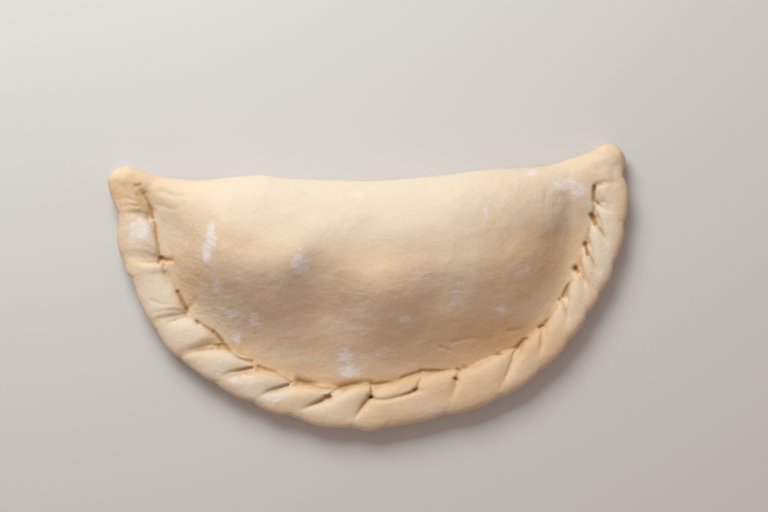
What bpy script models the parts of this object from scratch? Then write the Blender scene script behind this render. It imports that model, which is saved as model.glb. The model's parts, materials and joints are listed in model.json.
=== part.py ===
"""An unbaked calzone: a half-moon of raw dough folded over its filling and sealed with a rope crimp.

It is one piece of dough, so it is one solid. The filled body is a loft between the fold at the back
and the rim at the front. The crimp is a tube along the rim, creased on a slant where each pinch of
dough was laid over the next. Two short rolls of dough fill out the rounded tips. A Boolean union
joins them, and a cut at the level that the piece rests on makes the underside flat.

Units are metres, +Z is up, +X runs from the left horn to the right horn, and +Y points from the
crimped front to the folded back. The origin is under the middle of the piece, at its base.
"""

import math

import bmesh
import bpy
import numpy as np

MM = 0.001

# Height of the filled mound, and of the flat double layer of dough round it
MOUND_HEIGHT = 36.5 * MM
SKIRT_HEIGHT = 8.5 * MM

# Middle of the crimped rim seen from above, from the left horn round the front to the right horn
RIM_PATH = [
    (-132 * MM, 63 * MM), (-127 * MM, 41 * MM), (-124 * MM, 20 * MM), (-116 * MM, 1 * MM),
    (-108 * MM, -15 * MM), (-88 * MM, -35 * MM), (-63 * MM, -51 * MM), (-30 * MM, -64 * MM),
    (4 * MM, -65 * MM), (39 * MM, -58 * MM), (75 * MM, -46 * MM), (101 * MM, -27 * MM),
    (117 * MM, -4 * MM), (126 * MM, 21 * MM), (131 * MM, 46 * MM), (130 * MM, 75 * MM),
]

# Half the rim's width at each of those points
RIM_HALF_WIDTH = [
    8.6 * MM, 9.8 * MM, 10.3 * MM, 9.8 * MM,
    9.6 * MM, 10.0 * MM, 9.8 * MM, 10.2 * MM,
    11.8 * MM, 11.8 * MM, 10.3 * MM, 9.2 * MM,
    9.0 * MM, 9.2 * MM, 9.4 * MM, 9.4 * MM,
]

# The folded edge at the back seen from above, from the left horn to the right horn
BACK_EDGE = [
    (-133 * MM, 61.5 * MM), (-117 * MM, 60 * MM), (-96 * MM, 57 * MM), (-74 * MM, 58.5 * MM),
    (-56 * MM, 59.5 * MM), (-42 * MM, 57.5 * MM), (-10 * MM, 56.5 * MM), (22 * MM, 57.5 * MM),
    (44 * MM, 60 * MM), (66 * MM, 63 * MM), (87 * MM, 64 * MM), (104 * MM, 67 * MM),
    (120 * MM, 72.5 * MM), (130 * MM, 74 * MM),
]

# Where each crease of the crimp starts beside the mound, along the rim, with how deep it is there
CREASES = [
    (29 * MM, 3.4 * MM), (53 * MM, 4.0 * MM), (62 * MM, 2.2 * MM), (95 * MM, 3.6 * MM),
    (120 * MM, 3.2 * MM), (141 * MM, 3.4 * MM), (162 * MM, 3.6 * MM), (188 * MM, 3.8 * MM),
    (211 * MM, 4.4 * MM), (237 * MM, 2.6 * MM), (260 * MM, 3.4 * MM), (296 * MM, 3.4 * MM),
    (314 * MM, 2.4 * MM), (336 * MM, 3.0 * MM), (355 * MM, 4.2 * MM), (369 * MM, 3.6 * MM),
    (387 * MM, 3.8 * MM), (397 * MM, 3.0 * MM),
]

# A crease runs back along the rim on its way out, by this much for each metre outwards. It is
# nearly straight across at the left horn, and at about 45 degrees from the distance given on.
# The slant dies away over so many half widths at each end of the rim.
CREASE_LEAN_LEFT = 0.35
CREASE_LEAN_RIGHT = 1.05
CREASE_LEAN_REACHED = 120 * MM
CREASE_LEAN_ENDS = 3.0

# Across the section, from -1 inside to 1 outside, and up it, from -1 to 1: a crease has its full
# depth past the second number, and has faded out at the first. It also draws the inner side in.
CREASE_FADE_ACROSS = (0.75, -0.35)
CREASE_FADE_UP = (-0.9, 0.1)
CREASE_INWARDS = 0.9

# The crimp's section: its crest, its widest level, and how square the section is
CRIMP_HEIGHT = 15.5 * MM
CRIMP_WAIST = 6.5 * MM
CRIMP_SQUARENESS = 2.25

# Pinched lobes: how full each one is between its creases, which way its belly leans, and how far
# it swells past the rim's outer edge, counted from a middling fullness
LOBE_FULLNESS = 2.3
LOBE_SKEW = 0.82
LOBE_SWELL = 1.0 * MM
LOBE_MIDDLING = 0.6

# The inner edge of the crimp seen from above is close to half an ellipse: its centre and half axes
CREASE_CENTRE = (2 * MM, 52 * MM)
CREASE_HALF_AXES = (119 * MM, 106.5 * MM)

# The mound: where its crest runs, how long its front slope is at least, and where its two ends
# start and stop sloping
MOUND_CREST_Y = 20 * MM
FRONT_SLOPE_LEAST = 18 * MM
MOUND_LEFT = (-120 * MM, -68 * MM)
MOUND_RIGHT = (116 * MM, 78 * MM)

# The fold at the back: how far the roll over it reaches, beside the mound and at the horns, the
# share of the height at which it is widest, and how far it tucks under
BACK_ROLL = 27 * MM
HORN_ROLL = 9 * MM
BACK_WAIST = 0.36
BACK_TUCK = 7 * MM

# Neither takes more than this share of a section, which keeps the short ones at the horns sound
ROLL_MOST_SHARE = 0.6
TUCK_MOST_SHARE = 0.3

# Lumps and dips where the filling pushes the dough up: x, y, radius and height of each
LUMPS = [
    (-37 * MM, 13 * MM, 15 * MM, 3.0 * MM),
    (4 * MM, 11 * MM, 18 * MM, 2.8 * MM),
    (68 * MM, 19 * MM, 26 * MM, 3.2 * MM),
    (-72 * MM, 32 * MM, 18 * MM, 2.0 * MM),
    (33 * MM, 38 * MM, 20 * MM, 1.4 * MM),
    (-18 * MM, -8 * MM, 14 * MM, -2.4 * MM),
    (39 * MM, -8 * MM, 14 * MM, -1.4 * MM),
]

# They fade out below this share of the mound's rise
LUMPS_FULL_FROM = 0.5

# The folded dough stays thick out to the horns, as a ridge from the mound to each rounded tip:
# the two ends of each ridge, its height and its width
LEFT_RIDGE = ((-131 * MM, 55 * MM), (-92 * MM, 46 * MM))
RIGHT_RIDGE = ((130 * MM, 66.5 * MM), (92 * MM, 52 * MM))
RIDGE_HEIGHT = 14.6 * MM
RIDGE_RADIUS = 12 * MM

# The body stops this far short of the rim's ends, which close in rounded tips
TIP_INSET = 8 * MM

# The rolls of dough inside the tips: x, y, level and radius along each
LEFT_HORN = [
    (-131 * MM, 56 * MM, 6.8 * MM, 9.0 * MM),
    (-124 * MM, 54.5 * MM, 6.4 * MM, 8.0 * MM),
    (-114 * MM, 52 * MM, 4.5 * MM, 7.0 * MM),
]
RIGHT_HORN = [
    (130 * MM, 67.5 * MM, 6.8 * MM, 9.2 * MM),
    (123 * MM, 64.5 * MM, 6.6 * MM, 8.2 * MM),
    (113 * MM, 60.5 * MM, 4.5 * MM, 7.2 * MM),
]

# The pieces reach this far below the base, and the slab that cuts them flat is this big
BELOW_BASE = 3 * MM
CUTTER_SIZE = (0.5, 0.5, 0.05)

# How finely each piece is faceted. The crimp's first and last rings are small, a little inside its
# ends, and the body's points crowd towards the roll at the back.
CURVE_STEPS = 24
RIM_SAMPLES = 400
FIRST_RING = 0.1 * MM
RINGS_PER_LOBE = 7
POINTS_ROUND_CRIMP = 22
BODY_SECTIONS = 60
BODY_TOP_POINTS = 28
BODY_TOP_CROWDING = 1.5
BODY_UNDER_POINTS = 4
HORN_RINGS = 10
HORN_SEGMENTS = 12
CAP_ANGLES = (28, 55, 80)
SHARP_ANGLE = math.radians(50)

DOUGH_COLOUR = (0.70, 0.52, 0.33, 1.0)
DOUGH_ROUGHNESS = 0.62


def smoothstep(low, high, value):
    """0 at low, 1 at high, a smooth S between and flat beyond; low may be the larger of the two."""
    share = np.clip((value - low) / (high - low), 0.0, 1.0)
    return share * share * (3.0 - 2.0 * share)


def smooth_curve(points, samples):
    """A Catmull-Rom curve through rows of numbers, sampled at even steps along its first two."""
    rows = np.array(points, float)
    rows = np.vstack([2 * rows[0] - rows[1], rows, 2 * rows[-1] - rows[-2]])
    share = np.linspace(0.0, 1.0, CURVE_STEPS, endpoint=False)[:, None]
    spans = []
    for a, b, c, d in zip(rows, rows[1:], rows[2:], rows[3:]):
        spans.append(0.5 * (
            2 * b
            + (c - a) * share
            + (2 * a - 5 * b + 4 * c - d) * share**2
            + (3 * b - a - 3 * c + d) * share**3
        ))
    dense = np.vstack(spans + [rows[-2:-1]])
    run = np.concatenate([[0.0], np.cumsum(np.hypot(*np.diff(dense[:, :2], axis=0).T))])
    even = np.linspace(0.0, run[-1], samples)
    return even, np.column_stack([np.interp(even, run, column) for column in dense.T])


RIM_RUN, RIM = smooth_curve([(*p, w) for p, w in zip(RIM_PATH, RIM_HALF_WIDTH)], RIM_SAMPLES)
RIM_LENGTH = RIM_RUN[-1]
RIM_HEADING = np.gradient(RIM[:, :2], axis=0)


def rim_at(run):
    """Place, outward direction and half width of the rim at a distance along it.

    Past either end the rim runs straight on.
    """
    run = np.asarray(run, float)
    on_rim = np.clip(run, 0.0, RIM_LENGTH)
    beyond = run - on_rim
    x, y, half_width = (np.interp(on_rim, RIM_RUN, column) for column in RIM.T)
    along_x, along_y = (np.interp(on_rim, RIM_RUN, column) for column in RIM_HEADING.T)
    size = np.hypot(along_x, along_y)
    along_x = along_x / size
    along_y = along_y / size
    return x + along_x * beyond, y + along_y * beyond, along_y, -along_x, half_width


def loft(name, rings, collection):
    """A mesh object whose skin joins closed rings of points, one after another, with flat ends."""
    built = bmesh.new()
    rows = [[built.verts.new(point) for point in ring] for ring in rings]
    count = len(rows[0])
    for row, after in zip(rows, rows[1:]):
        for i in range(count):
            j = (i + 1) % count
            built.faces.new((row[i], row[j], after[j], after[i]))
    built.faces.new(reversed(rows[0]))
    built.faces.new(rows[-1])
    bmesh.ops.recalc_face_normals(built, faces=built.faces)
    mesh = bpy.data.meshes.new(name)
    built.to_mesh(mesh)
    built.free()
    made = bpy.data.objects.new(name, mesh)
    collection.objects.link(made)
    return made


def filled_length(x):
    """1 along the filled middle, running down to 0 at both ends of the mound."""
    return smoothstep(*MOUND_LEFT, x) * smoothstep(*MOUND_RIGHT, x)


def ridge_share(x, y, ridge):
    """1 on the line of a ridge, fading to 0 away from it."""
    (start_x, start_y), (end_x, end_y) = ridge
    span_x = end_x - start_x
    span_y = end_y - start_y
    along = ((x - start_x) * span_x + (y - start_y) * span_y) / (span_x**2 + span_y**2)
    along = np.clip(along, 0.0, 1.0)
    away = np.hypot(x - start_x - along * span_x, y - start_y - along * span_y)
    return np.exp(-((away / RIDGE_RADIUS) ** 2))


def mound_top(x, y):
    """Height of the dough's upper face, before the fold at the back rolls it down."""
    reach = np.clip(1.0 - ((x - CREASE_CENTRE[0]) / CREASE_HALF_AXES[0]) ** 2, 0.0, 1.0)
    foot_y = CREASE_CENTRE[1] - CREASE_HALF_AXES[1] * np.sqrt(reach)
    crest_y = np.maximum(MOUND_CREST_Y, foot_y + FRONT_SLOPE_LEAST)
    filled = smoothstep(foot_y, crest_y, y) * filled_length(x)
    ridge = np.maximum(ridge_share(x, y, LEFT_RIDGE), ridge_share(x, y, RIGHT_RIDGE))
    height = SKIRT_HEIGHT + (MOUND_HEIGHT - SKIRT_HEIGHT) * filled
    height = height + (RIDGE_HEIGHT - SKIRT_HEIGHT) * ridge * (1.0 - filled)
    lumps_share = np.minimum(1.0, filled / LUMPS_FULL_FROM)
    for lump_x, lump_y, radius, rise in LUMPS:
        away = ((x - lump_x) ** 2 + (y - lump_y) ** 2) / radius**2
        height = height + rise * np.exp(-away) * lumps_share
    return height


def body_section(back, front):
    """One closed section of the body, from the fold at the back to the middle of the rim."""
    back = np.array(back)
    depth = math.hypot(*(front - back))
    roll = HORN_ROLL + (BACK_ROLL - HORN_ROLL) * filled_length(back[0])
    roll = min(roll, ROLL_MOST_SHARE * depth)
    tuck = min(BACK_TUCK, TUCK_MOST_SHARE * depth)
    waist = BACK_WAIST * mound_top(*(back + (front - back) * roll / depth))

    # The upper face leaves the fold upright and rolls over on to the mound
    share = np.linspace(0.0, 1.0, BODY_TOP_POINTS)[:, None] ** BODY_TOP_CROWDING
    upper = back + (front - back) * share
    into_roll = np.clip(share[:, 0] * depth / roll, 0.0, 1.0)
    rolled = np.sqrt(1.0 - (1.0 - into_roll) ** 2)
    upper_z = waist + (mound_top(*upper.T) - waist) * rolled

    # Under the fold the dough curves in to the base
    turn = np.linspace(math.pi / 2, 0.0, BODY_UNDER_POINTS, endpoint=False)[:, None]
    under = back + (front - back) * tuck / depth * (1.0 - np.cos(turn))
    under_z = waist - (waist + BELOW_BASE) * np.sin(turn[:, 0])

    plan = np.vstack([upper, front, under])
    return np.column_stack([plan, [*upper_z, -BELOW_BASE, *under_z]])


def body_sections():
    """Sections of the body, fanned out between the fold at the back and the crimped rim."""
    _, back = smooth_curve(BACK_EDGE, BODY_SECTIONS)
    rim_run = np.linspace(TIP_INSET, RIM_LENGTH - TIP_INSET, BODY_SECTIONS)
    front = np.column_stack(rim_at(rim_run)[:2])
    return [body_section(*ends) for ends in zip(back, front)]


def crimp_ring(run, phase, depth):
    """One ring of the crimp, slanted back along the rim on its outer side.

    phase runs from 0 to 1 between two creases, and depth is how deep the creases are here.
    """
    turn = np.linspace(-math.pi / 2, 1.5 * math.pi, POINTS_ROUND_CRIMP, endpoint=False)
    across = np.cos(turn)
    up = np.sin(turn)
    roundness = np.abs(across) ** CRIMP_SQUARENESS + np.abs(up) ** CRIMP_SQUARENESS
    across = across * roundness ** (-1.0 / CRIMP_SQUARENESS)
    up = up * roundness ** (-1.0 / CRIMP_SQUARENESS)

    belly = abs(2.0 * phase**LOBE_SKEW - 1.0)
    fullness = max(0.0, 1.0 - belly**LOBE_FULLNESS) ** (1.0 / LOBE_FULLNESS)
    crease_share = smoothstep(*CREASE_FADE_ACROSS, across) * smoothstep(*CREASE_FADE_UP, up)
    drawn_in = depth * (1.0 - fullness) * crease_share
    swell = LOBE_SWELL * (fullness - LOBE_MIDDLING) * np.clip(across, 0.0, 1.0)

    # The rim's two ends close in a half round
    half_width = rim_at(run)[4]
    to_end = min(run, RIM_LENGTH - run) / half_width
    end_share = math.sqrt(1.0 - (1.0 - min(1.0, to_end)) ** 2)

    lean_share = smoothstep(0.0, CREASE_LEAN_REACHED, run)
    lean = CREASE_LEAN_LEFT + (CREASE_LEAN_RIGHT - CREASE_LEAN_LEFT) * lean_share
    lag = lean * half_width * (across + 1.0) * min(1.0, to_end / CREASE_LEAN_ENDS)
    x, y, out_x, out_y, half_width = rim_at(run - lag)
    outwards = half_width * across + swell + CREASE_INWARDS * drawn_in * (across < 0)
    outwards = outwards * end_share
    above = up * ((CRIMP_HEIGHT - CRIMP_WAIST) * end_share - drawn_in)
    below = up * (CRIMP_WAIST + BELOW_BASE)
    level = CRIMP_WAIST + np.where(up > 0, above, below)
    return np.column_stack([x + out_x * outwards, y + out_y * outwards, level])


def crimp_rings():
    """Rings of the crimp, crowded towards the creases between its lobes."""
    steps = np.linspace(0.0, 1.0, RINGS_PER_LOBE, endpoint=False)
    crowded = 0.5 - 0.5 * np.cos(math.pi * steps)
    marks = [(FIRST_RING, 0.0), *CREASES, (RIM_LENGTH - FIRST_RING, 0.0)]
    rings = []
    for (start, start_depth), (end, end_depth) in zip(marks, marks[1:]):
        for phase in crowded:
            run = start + (end - start) * phase
            depth = start_depth + (end_depth - start_depth) * phase
            rings.append(crimp_ring(run, phase, depth))
    rings.append(crimp_ring(RIM_LENGTH - FIRST_RING, 1.0, 0.0))
    return rings


def horn_rings(stations):
    """Rings of a short roll of dough with rounded ends, along points that each have a radius."""
    _, spine = smooth_curve(stations, HORN_RINGS)
    turn = np.linspace(0.0, 2 * math.pi, HORN_SEGMENTS, endpoint=False)
    ahead = spine[-1, :2] - spine[0, :2]
    ahead = ahead / math.hypot(*ahead)
    side = np.array([-ahead[1], ahead[0]])
    angles = np.radians(CAP_ANGLES)
    start_cap = [(spine[0], -math.sin(a), math.cos(a)) for a in angles[::-1]]
    end_cap = [(spine[-1], math.sin(a), math.cos(a)) for a in angles]
    rings = []
    for (x, y, level, radius), forwards, girth in (
        start_cap + [(row, 0.0, 1.0) for row in spine] + end_cap
    ):
        sideways = radius * girth * np.cos(turn)[:, None]
        plan = np.array([x, y]) + radius * forwards * ahead + sideways * side
        rings.append(np.column_stack([plan, level + radius * girth * np.sin(turn)]))
    return rings


def dough_material():
    """Pale raw dough."""
    material = bpy.data.materials.new("raw_dough")
    material.use_nodes = True
    shader = material.node_tree.nodes["Principled BSDF"]
    shader.inputs["Base Color"].default_value = DOUGH_COLOUR
    shader.inputs["Roughness"].default_value = DOUGH_ROUGHNESS
    shader.inputs["Metallic"].default_value = 0.0
    return material


def base_cutter(collection):
    """A slab whose top is the base plane, to cut the underside flat."""
    bpy.ops.mesh.primitive_cube_add(size=1.0)
    slab = bpy.context.active_object
    slab.name = "base_cutter"
    slab.scale = CUTTER_SIZE
    slab.location = (0.0, 0.0, -CUTTER_SIZE[2] / 2)
    bpy.ops.object.transform_apply(location=True, rotation=False, scale=True)
    slab.hide_render = True
    slab.display_type = "WIRE"
    for holder in list(slab.users_collection):
        holder.objects.unlink(slab)
    collection.objects.link(slab)
    return slab


def apply_boolean(target, operation, **operand):
    """Adds a Boolean to the object and makes its result the object's own mesh."""
    boolean = target.modifiers.new(operation.lower(), "BOOLEAN")
    boolean.operation = operation
    boolean.solver = "EXACT"
    for name, value in operand.items():
        setattr(boolean, name, value)
    bpy.context.view_layer.update()
    graph = bpy.context.evaluated_depsgraph_get()
    joined = bpy.data.meshes.new_from_object(target.evaluated_get(graph))
    target.modifiers.clear()
    target.data = joined


def centre_over_origin(piece):
    """Moves the mesh so that the middle of its plan is over the origin."""
    corners = np.array([vertex.co for vertex in piece.data.vertices])
    middle = (corners.min(axis=0) + corners.max(axis=0)) / 2
    for vertex in piece.data.vertices:
        vertex.co.x -= middle[0]
        vertex.co.y -= middle[1]


def main():
    for old in list(bpy.data.objects):
        bpy.data.objects.remove(old, do_unlink=True)
    parts = bpy.data.collections.new("calzone")
    cutters = bpy.data.collections.new("cutters")
    rolls = bpy.data.collections.new("rolls_to_join")
    for collection in (parts, cutters, rolls):
        bpy.context.scene.collection.children.link(collection)

    calzone = loft("calzone", body_sections(), parts)
    loft("crimp", crimp_rings(), rolls)
    loft("left_horn", horn_rings(LEFT_HORN), rolls)
    loft("right_horn", horn_rings(RIGHT_HORN), rolls)
    apply_boolean(calzone, "UNION", operand_type="COLLECTION", collection=rolls)
    for roll in list(rolls.objects):
        bpy.data.objects.remove(roll, do_unlink=True)
    bpy.data.collections.remove(rolls)

    slab = base_cutter(cutters)
    apply_boolean(calzone, "DIFFERENCE", operand_type="OBJECT", object=slab)
    bpy.data.objects.remove(slab, do_unlink=True)

    centre_over_origin(calzone)
    calzone.data.materials.clear()
    calzone.data.materials.append(dough_material())
    calzone.data.shade_smooth()
    calzone.data.set_sharp_from_angle(angle=SHARP_ANGLE)


main()
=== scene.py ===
# %% [markdown]
# An unbaked calzone, lying flat and seen from straight above. A round of pizza dough is folded over
# its filling, so the back edge is one soft roll, and the two layers are sealed along the curved
# front by a rope crimp: pinch, fold over, pinch again. Everything here is one piece of dough, so
# the aim is one continuous skin with soft creases, dusted with flour.

import json
import math

import bmesh
import bpy
import numpy as np
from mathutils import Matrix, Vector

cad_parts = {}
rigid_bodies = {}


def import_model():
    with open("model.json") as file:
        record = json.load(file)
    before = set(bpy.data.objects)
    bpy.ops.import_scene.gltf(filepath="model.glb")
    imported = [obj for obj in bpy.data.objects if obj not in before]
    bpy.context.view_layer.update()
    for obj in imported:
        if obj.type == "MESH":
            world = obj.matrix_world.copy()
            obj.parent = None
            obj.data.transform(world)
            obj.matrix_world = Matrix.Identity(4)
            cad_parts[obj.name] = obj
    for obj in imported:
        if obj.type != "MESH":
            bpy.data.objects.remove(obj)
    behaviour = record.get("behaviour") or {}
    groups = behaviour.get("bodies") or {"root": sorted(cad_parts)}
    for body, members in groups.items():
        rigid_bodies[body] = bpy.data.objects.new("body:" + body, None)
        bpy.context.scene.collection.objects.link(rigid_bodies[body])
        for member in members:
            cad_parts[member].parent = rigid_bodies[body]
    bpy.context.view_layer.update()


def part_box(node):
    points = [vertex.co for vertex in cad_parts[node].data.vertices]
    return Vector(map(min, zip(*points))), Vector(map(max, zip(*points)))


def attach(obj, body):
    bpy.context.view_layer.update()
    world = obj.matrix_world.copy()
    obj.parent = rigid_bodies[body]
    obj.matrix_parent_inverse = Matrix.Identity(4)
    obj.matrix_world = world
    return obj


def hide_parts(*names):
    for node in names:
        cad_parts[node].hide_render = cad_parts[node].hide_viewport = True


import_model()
part_low, part_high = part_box("calzone")
MM = 0.001
print("part in mm:", [round(side / MM, 1) for side in part_high - part_low])


# %% [markdown]
# The crimp and the finish are both made with nodes: Geometry Nodes for the shapes, shader nodes
# for the colours. Both kinds of tree do their sums with the same Math node, so one small class is
# enough for both. It wraps a socket, and Python's own operators on it add the Math nodes, which
# keeps a formula readable as a formula. Other nodes come from its node method, which hands on
# their result, or from add_node, where the node itself is needed.

# %% Sums on sockets
class Wire:
    """An output socket of a node. Arithmetic on it adds Math nodes to its tree."""

    def __init__(self, socket):
        self.socket = socket

    def node(self, kind, settings, sockets):
        """The result of a new node in the same tree: its first output that is in use."""
        made = add_node(self.socket.id_data, kind, settings, sockets)
        return Wire(next(output for output in made.outputs if output.enabled))

    def math(self, operation, *others):
        numbers = dict(enumerate((self, *others)))
        return self.node("ShaderNodeMath", {"operation": operation}, numbers)

    def vector(self, operation, *others, **sockets):
        """Sums on whole vectors. A dot product gives a number."""
        values = {**dict(enumerate((self, *others))), **sockets}
        return self.node("ShaderNodeVectorMath", {"operation": operation}, values)

    def __add__(self, other):
        return self.math("ADD", other)

    def __sub__(self, other):
        return self.math("SUBTRACT", other)

    def __rsub__(self, other):
        return (self * -1.0) + other

    def __mul__(self, other):
        return self.math("MULTIPLY", other)

    def __truediv__(self, other):
        return self.math("DIVIDE", other)

    def __pow__(self, other):
        return self.math("POWER", other)

    __radd__ = __add__
    __rmul__ = __mul__

    def smooth(self, low, high):
        """0 at low, 1 at high, a smooth S between and flat beyond; low may be the larger."""
        sockets = {"Value": self, "From Min": low, "From Max": high}
        return self.node("ShaderNodeMapRange", {"interpolation_type": "SMOOTHSTEP"}, sockets)


def add_node(tree, kind, settings=(), sockets=()):
    """One node: its settings are set first, then its sockets take a value or a wire each."""
    made = tree.nodes.new(kind)
    for name, value in dict(settings).items():
        setattr(made, name, value)
    for key, value in dict(sockets).items():
        socket = made.inputs[key] if isinstance(key, int) else next(
            s for s in made.inputs if key in (s.identifier, s.name) and s.enabled
        )
        if isinstance(value, Wire):
            tree.links.new(value.socket, socket)
        else:
            socket.default_value = value
    return made


print("sums on sockets: +, -, *, /, ** and smooth")

# %% Trees that make shapes
SOCKET_KINDS = {
    float: "NodeSocketFloat",
    int: "NodeSocketInt",
    bpy.types.Object: "NodeSocketObject",
    bpy.types.Material: "NodeSocketMaterial",
}


def shape_tree(name, sizes):
    """An empty Geometry Nodes tree with named inputs, and a wire for each of them."""
    tree = bpy.data.node_groups.new(name, "GeometryNodeTree")
    for way in ("INPUT", "OUTPUT"):
        tree.interface.new_socket("Geometry", in_out=way, socket_type="NodeSocketGeometry")
    for label, value in sizes.items():
        kind = next(SOCKET_KINDS[k] for k in SOCKET_KINDS if isinstance(value, k))
        tree.interface.new_socket(label, in_out="INPUT", socket_type=kind)
    entry = tree.nodes.new("NodeGroupInput")
    wires = {socket.name: Wire(socket) for socket in entry.outputs if socket.name}
    return tree, wires


def finish_tree(tree, geometry, material):
    """Every tree ends alike: instances made real, the material set, and the result handed out."""
    real = geometry.node("GeometryNodeRealizeInstances", (), {"Geometry": geometry})
    coloured = real.node("GeometryNodeSetMaterial", (), {"Geometry": real, "Material": material})
    leave = tree.nodes.new("NodeGroupOutput")
    tree.links.new(coloured.socket, leave.inputs["Geometry"])


def grow(tree, base, sizes):
    """The plain mesh that a tree makes from an object. Inputs are set by identifier first."""
    modifier = base.modifiers.new(tree.name, "NODES")
    modifier.node_group = tree
    for item in tree.interface.items_tree:
        if item.in_out == "INPUT" and item.name in sizes:
            modifier[item.identifier] = sizes[item.name]
    graph = bpy.context.evaluated_depsgraph_get()
    mesh = bpy.data.meshes.new_from_object(base.evaluated_get(graph))
    base.modifiers.remove(modifier)
    return mesh


def put_in_scene(name, data):
    made = bpy.data.objects.new(name, data)
    bpy.context.scene.collection.objects.link(made)
    return made


dough = bpy.data.materials.new("raw_dough")
print("inputs can be:", ", ".join(kind.__name__ for kind in SOCKET_KINDS))


# %% [markdown]
# The rim. Seen from above it is a lopsided half-moon, so its middle line is drawn as a curve with
# one point every centimetre or so, and the third number says how wide the crimp is there. A
# Catmull-Rom spline passes through all its points, which keeps them easy to read off a photo.

# %% The rim's middle line
RIM = [  # x, y and half width, in mm
    (-132.5, 64, 8.2), (-130.6, 54.5, 8.6), (-126.8, 43.5, 9.0), (-125, 34, 9.0), (-124.5, 26, 10.0),
    (-123, 18, 10.2), (-118.5, 6.5, 9.2), (-113, -6, 9.5), (-106, -18, 9.8), (-96.5, -29, 10.6),
    (-85.5, -38, 10.0), (-73.5, -46, 10.3), (-61.5, -52, 10.0), (-49, -57.5, 10.0),
    (-36, -61.5, 9.9), (-22.5, -64.5, 10.9), (-8.5, -65, 11.6), (5, -64.5, 12.4), (18, -62.5, 11.9),
    (31.5, -59.5, 12.2), (45.5, -57, 11.8), (59, -53, 11.4), (72, -48, 10.8), (84, -41, 9.7),
    (95, -32, 8.9), (104, -22, 8.3), (112, -10, 8.5), (119, 2, 8.8), (124, 14.5, 9.2),
    (128, 28, 9.1), (130.7, 42, 8.6), (131, 52, 8.1), (130.3, 60, 7.4), (129.5, 66, 7.5),
    (129.5, 77, 7.5),
]
RIM_SAMPLES = 600
STEPS_BETWEEN_POINTS = 40


def smooth_curve(points, samples):
    """A Catmull-Rom curve through rows of numbers, at even steps along its first two."""
    rows = np.array(points, float)
    rows = np.vstack([2 * rows[0] - rows[1], rows, 2 * rows[-1] - rows[-2]])
    share = np.linspace(0.0, 1.0, STEPS_BETWEEN_POINTS, endpoint=False)[:, None]
    spans = []
    for a, b, c, d in zip(rows, rows[1:], rows[2:], rows[3:]):
        bend = (2 * a - 5 * b + 4 * c - d) * share**2 + (3 * b - a - 3 * c + d) * share**3
        spans.append(0.5 * (2 * b + (c - a) * share + bend))
    dense = np.vstack(spans + [rows[-2:-1]])
    run = np.concatenate([[0.0], np.cumsum(np.hypot(*np.diff(dense[:, :2], axis=0).T))])
    even = np.linspace(0.0, run[-1], samples)
    return even, np.column_stack([np.interp(even, run, column) for column in dense.T])


rim_run, rim = smooth_curve(np.array(RIM) * MM, RIM_SAMPLES)
rim_length = float(rim_run[-1])
rim_mesh = bpy.data.meshes.new("rim_line")
rim_mesh.from_pydata(
    [(x, y, 0.0) for x, y, _ in rim], [(i, i + 1) for i in range(RIM_SAMPLES - 1)], []
)
rim_mesh.attributes.new("half_width", "FLOAT", "POINT").data.foreach_set("value", rim[:, 2])
rim_line = put_in_scene("rim_line", rim_mesh)
print("rim in mm:", round(rim_length / MM, 1))

# %% [markdown]
# The creases between the pinches. No two are alike: each has its own place along the rim, its own
# depth, its own slant, which is how far back it runs on its way out, and its own reach, which is
# how far out it gets before it fades. They are kept as the points of a second small mesh with
# four attributes, which the tree looks up by number.

# %% The creases of the crimp
CREASES = [  # along the rim and depth in mm, slant, reach
    (29.7, 2.2, 0.35, 0.6), (56.6, 2.4, 0.34, 0.5), (62.4, 0.5, 0.25, 0.5),
    (90.6, 3.0, 0.18, 0.7), (117.9, 3.8, 0.69, 0.75), (143.6, 3.8, 0.91, 0.7),
    (166.1, 3.8, 0.97, 0.7), (195.0, 3.8, 1.28, 0.75), (213.1, 4.4, 0.63, 0.8),
    (243, 0.6, 1.20, 0.3), (263, 1.8, 0.70, 0.5), (299.3, 3.0, 1.25, 0.7),
    (318.5, 1.6, 1.15, 0.5), (339.4, 2.4, 1.22, 0.5), (358.1, 2.6, 1.22, 0.5),
    (372.1, 2.6, 1.28, 0.5), (389.7, 2.6, 1.40, 0.5), (399.5, 1.6, 0.82, 0.4),
    (410, 1.0, 0.05, 0.2),
]
NO_CREASE = (0.0, 0.0, 0.5)  # depth, slant and reach, for the two ends of the rope

marks = [(0.0, *NO_CREASE), *CREASES, (rim_length / MM, *NO_CREASE)]
mark_mesh = bpy.data.meshes.new("crease_marks")
mark_mesh.from_pydata([(run * MM, 0.0, 0.0) for run, *_ in marks], [], [])
for label, unit, column in zip(("run", "depth", "slant", "reach"), (MM, MM, 1, 1), zip(*marks)):
    values = [unit * value for value in column]
    mark_mesh.attributes.new(label, "FLOAT", "POINT").data.foreach_set("value", values)
crease_marks = put_in_scene("crease_marks", mark_mesh)
print("creases:", len(CREASES))

# %% [markdown]
# The crimp itself. Its shape follows a rule, so a tree makes it: a flat grid is bent into a tube
# along the rim. One side of the grid counts the rings, crowded towards the creases, and the other
# goes round the section. Each ring leans back along the rim on its outer side, so a crease that
# draws a ring in runs across the rope on a slant, deep beside the filling and gone at the edge.

# %% Inputs of the crimp's tree
crimp_sizes = {
    "Rings per fold": 22,
    "Points round": 72,
    "Folds": len(marks) - 1,
    "Height": 15.2 * MM,
    "Waist": 8.5 * MM,
    "Inner squareness": 2.4,
    "Outer squareness": 3.2,
    "Fullness": 1.9,
    "Skew": 1.25,
    "Swell": 1.4 * MM,
    "Rim length": rim_length,
    "Rim line": rim_line,
    "Crease marks": crease_marks,
    "Dough": dough,
}
crimp_tree, size = shape_tree("rope_crimp", crimp_sizes)


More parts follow.
